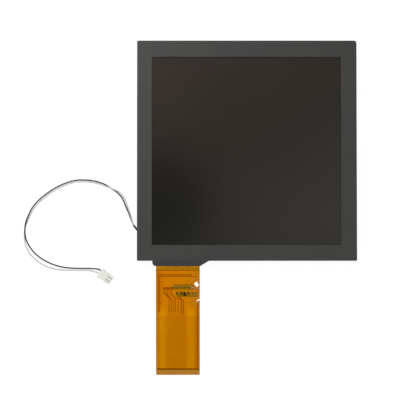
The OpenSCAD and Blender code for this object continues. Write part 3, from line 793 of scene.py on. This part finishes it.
def burnish(tree, shader, place):
    """Makes a film glossy round the two kinks and leaves the rest of it dull."""
    plan = add(tree, "VectorMath", {"operation": "MULTIPLY", 1: (1, 1, 0)}, {0: place})
    to_kink, to_nick = (add(tree, "VectorMath", {"operation": "DISTANCE", 1: (*spot*MM, 0)},
                            {0: plan.outputs["Vector"]}) for spot in (KINK_AT, NICK_AT))
    nearest = add(tree, "Math", {"operation": "MINIMUM"},
                  {0: to_kink.outputs["Value"], 1: to_nick.outputs["Value"]})
    gloss = add(tree, "MapRange", {"From Min": BURNISHED[0]*MM, "From Max": BURNISHED[1]*MM,
                                   "To Min": CREASE_GLOSS, "To Max": FILM_GLOSS},
                {"Value": nearest.outputs[0]})
    tree.links.new(gloss.outputs["Result"], shader.inputs["Specular IOR Level"])


def between(tree, value, start, end):
    """How far a value is on its way from start to end, as a factor."""
    return add(tree, "MapRange", {"From Min": start, "From Max": end},
               {"Value": value}).outputs["Result"]


# %% Amber cover film over copper
BANDS_FROM = EXIT_Y - 28               # where the copper's broad bands begin
BANDS_BLEND = 3                        # reach of the change to them, either way
cover, tree, shader, place = finish("amber_cover_film", "#b87408", 0.2, IOR=1.6)
axes = add(tree, "SeparateXYZ", None, {0: warped(tree, place, 7, 0.9)})
across = between(tree, axes.outputs["X"], (TAIL_X - TAIL_HALF)*MM, (TAIL_X + TAIL_HALF)*MM)
near_tones = ramp(tree, across, (0.0, "#d28708"), (0.08, "#c97100"), (0.2, "#db8300"),
                  (0.55, "#dd8500"), (0.85, "#d68200"), (1.0, "#c67c04"))
far_tones = ramp(tree, across, (0.0, "#cf8506"), (0.09, "#d48902"), (0.15, "#e99d08"),
                 (0.22, "#e29304"), (0.29, "#cf8000"), (0.68, "#cd7c00"), (0.76, "#e69800"),
                 (0.87, "#e49400"), (0.93, "#ce7502"), (1.0, "#be7a02"))
nearness = between(tree, axes.outputs["Y"], (BANDS_FROM - BANDS_BLEND)*MM,
                   (BANDS_FROM + BANDS_BLEND)*MM)
tone = add(tree, "Mix", {"data_type": "RGBA"}, {0: nearness, MIX_A: far_tones, MIX_B: near_tones})
tree.links.new(tone.outputs[MIX_RESULT], shader.inputs["Base Color"])
relief_by(tree, shader, noise(tree, place, 3.5, 2), 0.3, 0.03)
burnish(tree, shader, place)

# %% Bare film
# Film without copper is deeper and browner. It shows round the edge and in the openings,
# and is paler over the stiffener at the contacts and golden just below the tape.
bare_film, tree, shader, place = finish("bare_polyimide_film", "#a47102", 0.25, IOR=1.6)
down = add(tree, "SeparateXYZ", None, {0: place}).outputs["Y"]
backing = ramp(tree, between(tree, down, TIP_Y*MM, EXIT_Y*MM),
               (0.03, "#cc8820"), (0.1, "#a67302"), (0.88, "#a67302"), (0.95, "#c68304"))
haze = ramp(tree, noise(tree, place, 2.5, 3), (0.35, "#e6e6e6"), (0.65, "#ffffff"))
tone = add(tree, "Mix", {"data_type": "RGBA", "blend_type": "MULTIPLY", 0: 1.0},
           {MIX_A: backing, MIX_B: haze})
tree.links.new(tone.outputs[MIX_RESULT], shader.inputs["Base Color"])
burnish(tree, shader, place)


# %% Buried copper, glue and stiffener board
def film_finish(name, dark, light, size_mm, roughness):
    """Polyimide over one thing, its tone drifting between dark and light over size_mm."""
    made, tree, shader, place = finish(name, dark, roughness, IOR=1.6,
                                       Specular_IOR_Level=FILM_GLOSS)
    drift = noise(tree, place, size_mm, 3)
    colour_by(tree, shader, drift, (0.35, dark), (0.65, light))
    relief_by(tree, shader, drift, 0.15, 0.02)
    return made


# Copper looks brown in a lone track and golden brown in a broad band. The lines at the cover's
# ends are darker and duller, the one at the contacts painted shade of the cover's edge, and the
# stiffener board is thick film, pale and cloudy.
buried_copper = film_finish("copper_under_amber_film", "#9e4c00", "#ae5800", 3.0, 0.22)
deep_copper = film_finish("copper_ground_under_film", "#be6e00", "#c97700", 4.0, 0.22)
# darker, duller film for the cover's end lines; at the contact end this is painted shade
glue_line = film_finish("cover_film_edge_painted_shade", "#8e5100", "#a05c00", 2.0, 0.3)
board = film_finish("polyimide_stiffener_board", "#bf8620", "#cf9428", 3.0, 0.4)
dress(board, "contact_stiffener", "part_stiffener")

# %% Gold contacts
# Gold flashed over rolled copper: warm, and satin from the copper's grain below.
gold, tree, shader, place = finish("gold_plated_copper", "#f2b250", 0.5, Metallic=1.0)
roughness_by(tree, shader, noise(tree, place, 0.1, 3), 0.42, 0.6)
dress(gold, "contact_fingers")

# %% [markdown]
# ## Flex tail: its layers
# The base film runs the whole length. The cover film starts just below the tape and stops
# short of the contacts, and it is left open round the two rows of chip parts. Its
# cut ends show as darker lines, and the one at the contacts is painted shade of the cover's edge.
# A texture could draw all this on one sheet, but real layers catch the light at their edges.

# %% Base film
COVER_T = 0.02
SUNK = 0.002                           # each layer begins this far inside the one below it
TIP_STEP = 0.1                         # closer rows, for the tip's rounded corners
film_rows = [(y, spread_x(*film_edges(y))) for y in
             rows_between(flex_high.y, TIP_Y + TIP_R)
             + rows_between(TIP_Y + TIP_R, TIP_Y, TIP_STEP)[1:]]
last = len(film_rows[-1][1]) - 1       # every row gets as many places as the tip's has
film_rows = [(y, [xs[0] + (xs[-1] - xs[0])*i/last for i in range(last + 1)])
             for y, xs in film_rows]
mesh = bmesh.new()
drape(mesh, film_rows, 0, FILM_T)
film = place_piece("flex_film", mesh, bare_film)
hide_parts("flex_circuit")

# %% Cover film with its two openings
COVER_FROM = -69.7
COVER_TO = -128.05
TRIM = 0.12                            # the cover film is trimmed this far in
COVER_LEFT, COVER_RIGHT = TAIL_X - TAIL_HALF + TRIM, TAIL_X + TAIL_HALF - TRIM
UPPER_OPENING = (-42.7, -30.9, -77.9, -81.0)
LOWER_OPENING = (-41.1, -28.7, -82.1, -85.2)


def cover_strips():
    """Rectangles that fill the cover film round its openings: left, right, high, low."""
    strips = [(COVER_LEFT, COVER_RIGHT, COVER_FROM, UPPER_OPENING[2])]
    for (left, right, high, low), below in ((UPPER_OPENING, LOWER_OPENING[2]),
                                            (LOWER_OPENING, COVER_TO)):
        strips += [(COVER_LEFT, left, high, low), (right, COVER_RIGHT, high, low),
                   (COVER_LEFT, COVER_RIGHT, low, below)]
    return strips


mesh = bmesh.new()
for strip in cover_strips():
    drape_box(mesh, *strip, FILM_T - SUNK, FILM_T + COVER_T)
cover_piece = place_piece("flex_cover_film", mesh, cover)

# %% Dark lines at the cover film's ends
# The one at the contacts is painted shade of the cover's edge. Each has its two ends along
# the tail, and how far its bead stands above the cover.
mesh = bmesh.new()
for high, low, bead in ((COVER_FROM + 0.05, COVER_FROM - 0.3, 0.006),
                        (COVER_TO + 1.05, COVER_TO - 0.05, 0.014)):
    drape_box(mesh, COVER_LEFT, COVER_RIGHT, high, low, FILM_T, FILM_T + COVER_T + bead)
edge_glue = place_piece("cover_film_edge", mesh, glue_line)

# %% [markdown]
# ## Flex tail: its copper
# Copper inside the film shows through it as darker brown lines. A broad ground band
# crosses near the bezel and another runs down the left, each with a darker line along both
# of its edges. A group of fine tracks drops from the left of the chips, slants to the
# middle at 45 degrees, and runs on towards the tip. Between there and the contacts all
# fifty tracks run side by side at their own half-millimetre pitch. The cover is opaque
# here, so each is a thin draped strip on top of it, which follows the droop and the kinks.

# %% Sizes of the tracks
COVER_TOP = FILM_T + COVER_T
TRACK_T = 0.012
BAND_T = 0.006                         # bands lie lower than the lines at their edges
LINE_W, SIDE_LINE_W = 0.42, 0.36
POWER_W, SPARE_W = 0.6, 0.45
# the two bands' edge lines, each from one end to the other
BAND_EDGES = (((-50.6, -72.2), (-32.0, -72.2), LINE_W), ((-50.6, -73.3), (-29.6, -73.3), LINE_W),
              ((-51.7, -72.0), (-51.7, -94.4), SIDE_LINE_W),
              ((-50.8, -72.4), (-50.8, -94.0), SIDE_LINE_W))
BANDS = ((-50.6, -32.0, -72.3, -73.2), (-51.6, -50.9, -72.5, -93.8))
SIGNAL_BAR = (-48.7, -42.7, -79.5, -80.9)      # left, right, high, low, as in BANDS
SIGNAL_X, SIGNAL_STEP = -48.4, 1.13
SIGNAL_TO = -94.2
# where each signal track turns, and how far it then slants
SIGNAL_TURNS = ((-83.0, 3.1), (-83.45, 3.19), (-83.9, 3.28), (-83.1, 3.37), (-83.4, 3.9))
POWER_STARTS = ((-40.8, -84.6), (-39.5, -85.0))
POWER_SLANT, POWER_TO = 2.6, -95.0
SPARE_AT = (-28.7, -88.2)              # a lone track down the right edge
print("signal tracks:", len(SIGNAL_TURNS), "power tracks:", len(POWER_STARTS))


# %% Ground bands and brown tracks
def track(mesh, points, width, rise=TRACK_T):
    """A strip of copper along a path, just proud of the cover film."""
    drape_path(mesh, points, width, COVER_TOP - SUNK, COVER_TOP + rise)


mesh = bmesh.new()
for one_end, other_end, width in BAND_EDGES:
    track(mesh, [one_end, other_end], width)
drape_box(mesh, *SIGNAL_BAR, COVER_TOP - SUNK, COVER_TOP + TRACK_T)
for i, (turn, slant) in enumerate(SIGNAL_TURNS):
    x = SIGNAL_X + SIGNAL_STEP*i
    track(mesh, [(x, SIGNAL_BAR[3]), (x, turn), (x + slant, turn - slant),
                 (x + slant, SIGNAL_TO)], LINE_W)
for x, y in POWER_STARTS:
    track(mesh, [(x, y), (x + POWER_SLANT, y - POWER_SLANT), (x + POWER_SLANT, POWER_TO)],
          POWER_W)
track(mesh, [SPARE_AT, (SPARE_AT[0], COVER_TO + 0.5)], SPARE_W, BAND_T)
tracks = place_piece("flex_brown_tracks", mesh, buried_copper)

mesh = bmesh.new()
for place_of_band in BANDS:
    drape_box(mesh, *place_of_band, COVER_TOP - SUNK, COVER_TOP + BAND_T)
band = place_piece("flex_ground_band", mesh, deep_copper)

# %% Fine tracks to the contacts
contact_low, contact_high = (corner/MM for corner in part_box("contact_fingers"))
CONTACT_PITCH = 0.5
CONTACT_W = 0.3
CONTACTS = round((contact_high.x - contact_low.x - CONTACT_W)/CONTACT_PITCH) + 1
FINE_W = 0.2
FINE_FROM = -96.5
mesh = bmesh.new()
for i in range(CONTACTS):
    x = TAIL_X + (i - (CONTACTS - 1)/2)*CONTACT_PITCH
    track(mesh, [(x, FINE_FROM), (x, COVER_TO + 0.1)], FINE_W, BAND_T)
fine_tracks = place_piece("flex_fine_tracks", mesh, deep_copper)
print("contacts:", CONTACTS)

# %% [markdown]
# ## Chip parts
# Capacitors, resistors and a small diode sit in two rows in the cover film's openings.
# The bodies are the solids. Each chip's ends are dipped and plated, and stand on gold pads
# in a small slope of solder. The ends and the solder are painted straw brown, a painted reflection
# of the amber film. Those are modelled here as caps with rounded edges, one pair for each chip,
# set out from the chips' own boxes, because painted ends would have no edge to catch the light.

# %% Chip bodies
# Pressed and fired ceramic: matt, with a fine mottle.
ceramic, tree, shader, place = finish("tan_ceramic_chip", "#8f7a2c", 0.45, IOR=1.7,
                                       Specular_IOR_Level=0.15)
colour_by(tree, shader, noise(tree, place, 0.15, 4), (0.35, "#967410"), (0.65, "#ac8a24"))
dress(ceramic, "flex_capacitors")

# A printed glaze over the resistor's film: dark, pitted, with a dull shine.
glaze, tree, shader, place = finish("black_glazed_resistor", "#4a3408", 0.45, IOR=1.5,
                                     Specular_IOR_Level=0.15)
relief_by(tree, shader, noise(tree, place, 0.2, 3), 0.3, 0.01)
dress(glaze, "flex_resistors")

# Filled epoxy from a rough mould: nearly black, with a grain and no gloss.
epoxy, tree, shader, place = finish("moulded_black_epoxy", "#33260a", 0.6, IOR=1.55,
                                     Specular_IOR_Level=0.15)
relief_by(tree, shader, noise(tree, place, 0.1, 3), 0.4, 0.01)
dress(epoxy, "flex_diode")

# %% Boxes of the separate chips
SAME_PLACE = 1e-6                      # verts of one solid that lie this close are one


def islands(node):
    """Boxes, in millimetres, of a node's separate solids."""
    mesh = bmesh.new()
    mesh.from_mesh(nodes[node].data)
    bmesh.ops.remove_doubles(mesh, verts=mesh.verts, dist=SAME_PLACE)
    waiting, found = set(mesh.verts), []
    while waiting:
        group, edge = set(), [waiting.pop()]
        while edge:
            vert = edge.pop()
            group.add(vert)
            near = {e.other_vert(vert) for e in vert.link_edges} - group
            waiting -= near
            edge += near
        spots = [v.co/MM for v in group]
        found.append((Vector(map(min, *spots)), Vector(map(max, *spots))))
    mesh.free()
    return found


chips = [box for node in ("flex_capacitors", "flex_resistors") for box in islands(node)]
print("chips:", len(chips))

# %% Sizes of a chip's ends
END_OVER = 0.3                         # how much of a chip each plated end covers
PLATING_T = 0.02
END_LONG = END_OVER + 2*PLATING_T
END_WIDE = 0.84
TILTED_ACROSS = 0.03                   # a chip's box is taller than the chip, because it is
TILTED_ALONG = 0.13                    # tilted: by this when it lies across or along the tail
PAD_T = 0.02
PAD_PAST = 0.3                         # how far a pad reaches out past its chip's end
PAD_MARGIN = 0.06
SOLDER_OUT, SOLDER_UP = 0.22, 0.07     # the solder's middle: out from the end's, up from the pad
SOLDER_H = 0.2
SOLDER_SHARE = 0.9                     # of the end's own size in plan
END_EDGE, PAD_EDGE, SOLDER_EDGE = 0.05, 0.008, 0.09
PART_ANGLE = math.atan((droop(PART_FLAT[0]) - droop(PART_FLAT[1]))/(PART_FLAT[1] - PART_FLAT[0]))
print("chips tilted by degrees:", round(math.degrees(PART_ANGLE), 1))


# %% Rounded boxes on the film
def rounded_box(mesh, middle, size, edge):
    """A box with rounded edges, tilted about X to lie along the film."""
    verts = bmesh.ops.create_cube(mesh, size=1)["verts"]
    bmesh.ops.scale(mesh, vec=size, verts=verts)
    sides = list({e for v in verts for e in v.link_edges})
    cut = bmesh.ops.bevel(mesh, geom=sides, offset=edge, segments=2, affect="EDGES", profile=0.5)
    verts = list({v for f in cut["faces"] for v in f.verts} | {v for v in verts if v.is_valid})
    tilted = Vector((0, -math.sin(PART_ANGLE), math.cos(PART_ANGLE)))
    turn = Vector((0, 0, 1)).rotation_difference(tilted)
    bmesh.ops.rotate(mesh, cent=(0, 0, 0), matrix=turn.to_matrix(), verts=verts)
    bmesh.ops.translate(mesh, vec=middle, verts=verts)


def chip_end_spots(low, high):
    """Middles of a chip's two ends, each with the direction out of it."""
    middle, size = (low + high)/2, high - low
    out = Vector((1, 0, 0)) if size.x > size.y else Vector((0, 1, 0))
    reach = (max(size.x, size.y) - END_OVER)/2
    return [(middle - out*reach, -out), (middle + out*reach, out)]


# %% Chips' ends, pads and solder
ends, pads, fillets = bmesh.new(), bmesh.new(), bmesh.new()
for low, high in chips:
    for spot, out in chip_end_spots(low, high):
        wide = Vector((END_LONG, END_WIDE) if out.x else (END_WIDE, END_LONG))
        tall = high.z - low.z - (TILTED_ACROSS if out.x else TILTED_ALONG)
        deck = film_z(spot.x, spot.y) + FILM_T
        rounded_box(ends, (spot.x, spot.y, deck + tall/2 + PLATING_T/2),
                    (wide.x, wide.y, tall + PLATING_T), END_EDGE)
        pad = spot + out*PAD_PAST/2
        rounded_box(pads, (pad.x, pad.y, film_z(pad.x, pad.y) + FILM_T + PAD_T/2),
                    (wide.x + PAD_PAST*abs(out.x) + PAD_MARGIN,
                     wide.y + PAD_PAST*abs(out.y) + PAD_MARGIN, PAD_T), PAD_EDGE)
        foot = spot + out*SOLDER_OUT
        rounded_box(fillets, (foot.x, foot.y, deck + PAD_T + SOLDER_UP),
                    (wide.x*SOLDER_SHARE, wide.y*SOLDER_SHARE, SOLDER_H), SOLDER_EDGE)
# the ends and the solder take the straw-brown tin, a painted reflection of the amber film
for name, mesh, material, slot in (("chip_ends", ends, dull_tin, "solder"),
                                   ("chip_pads", pads, gold, "gold_contact"),
                                   ("chip_solder", fillets, dull_tin, "solder")):
    place_piece(name, mesh, material)

# %% [markdown]
# ## Sleeve
# Where the wires leave the left wall they wear a short heat-shrunk sleeve. It follows the
# two stacked wires, so its section is a stadium. Shrinking leaves it a little uneven, with
# a rounded lip at the free end. A curve with a bevel could follow the wires too, but rings
# of that section, lofted one by one, let each have its own size.

# %% Heat-shrunk polyolefin
# Shrunk by hot air: black, half glossy, with soft puckers.
polyolefin, tree, shader, place = finish("heat_shrunk_polyolefin", "#17181a", 0.38, IOR=1.51)
relief_by(tree, shader, noise(tree, place, 0.6, 2), 0.4, 0.04)

# %% Section of the sleeve
SLEEVE_R = 0.56
SLEEVE_BORE = 0.47
SLEEVE_RINGS = 24
SLEEVE_SIDES = 20
LIP_FROM, LIP_DROP = 0.94, 0.06        # the free end turns in from here on, by this much
run = SLEEVE_OUT - SLEEVE_IN
side = run.cross(Vector((0, 0, 1))).normalized()
up = side.cross(run).normalized()
STACK = (WHITE_SLEEVE_OUT - SLEEVE_OUT).dot(up)
print("sleeve's length in mm:", round(run.length, 2))


def stadium_ring(mesh, middle, r):
    """A ring of verts round two stacked wires."""
    ring = []
    for k in range(SLEEVE_SIDES):
        a = 2*math.pi*(k + 0.5)/SLEEVE_SIDES
        raised = STACK if math.sin(a) > 0 else 0
        ring.append(mesh.verts.new(middle + side*r*math.cos(a) + up*(r*math.sin(a) + raised)))
    return ring


# %% Loft of the sleeve
# Two waves of different lengths make its outside uneven, and never twice the same.
mesh = bmesh.new()
outer, inner = [], []
for i in range(SLEEVE_RINGS + 1):
    t = i/SLEEVE_RINGS
    lip = LIP_DROP*max(0, (t - LIP_FROM)/(1 - LIP_FROM))**2
    uneven = 0.012*math.sin(17*t) + 0.008*math.sin(41*t + 1)
    outer.append(stadium_ring(mesh, SLEEVE_IN + run*t, SLEEVE_R + uneven - lip))
    inner.append(stadium_ring(mesh, SLEEVE_IN + run*t, SLEEVE_BORE))
for rings in (outer, inner):
    for a, b in zip(rings, rings[1:]):
        join_rings(mesh, a, b)
join_rings(mesh, outer[0], inner[0])
join_rings(mesh, outer[-1], inner[-1])
sleeve = place_piece("shrunk_sleeve", mesh, polyolefin)
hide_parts("lead_sleeve")

# %% [markdown]
# ## Plug
# The plug's housing is moulded in natural nylon, which is a warm white, a little
# translucent, with a satin face from the mould. Its form is the solid's. Moulded edges are
# never sharp, so the housing is a copy of the solid with its flat faces joined and its
# edges rolled by a small bevel. That needs far less work than modelling it again.

# %% Nylon
nylon, tree, shader, place = finish("natural_nylon", "#fafbee", 0.42, IOR=1.53,
                                    Subsurface_Weight=0.3, Subsurface_Scale=0.6*MM,
                                    Subsurface_Radius=(1.0, 0.9, 0.6))
relief_by(tree, shader, noise(tree, place, 0.2, 3), 0.25, 0.02)
colour_by(tree, shader, noise(tree, place, 3, 2), (0.3, "#f8f9ec"), (0.7, "#fcfcf4"))

# %% Softened copy of the housing
MOULD_EDGE = 0.12
FLAT = math.radians(1)                 # faces that turn less than this are joined
ROLLED_FROM = math.radians(40)         # edges that turn more than this are rolled

mesh = bmesh.new()
mesh.from_mesh(nodes["plug_housing"].data)
bmesh.ops.remove_doubles(mesh, verts=mesh.verts, dist=SAME_PLACE)
bmesh.ops.dissolve_limit(mesh, angle_limit=FLAT, verts=mesh.verts, edges=mesh.edges)
bmesh.ops.scale(mesh, vec=(1/MM, 1/MM, 1/MM), verts=mesh.verts)
plug = place_piece("plug_shell", mesh, nylon, smooth=False)
rolled = plug.modifiers.new("rolled_edges", "BEVEL")
rolled.width = MOULD_EDGE*MM
rolled.segments = 2
rolled.limit_method = "ANGLE"
rolled.angle_limit = ROLLED_FROM
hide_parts("plug_housing")

# Each leaves the module at the sleeve.

# %% [markdown]
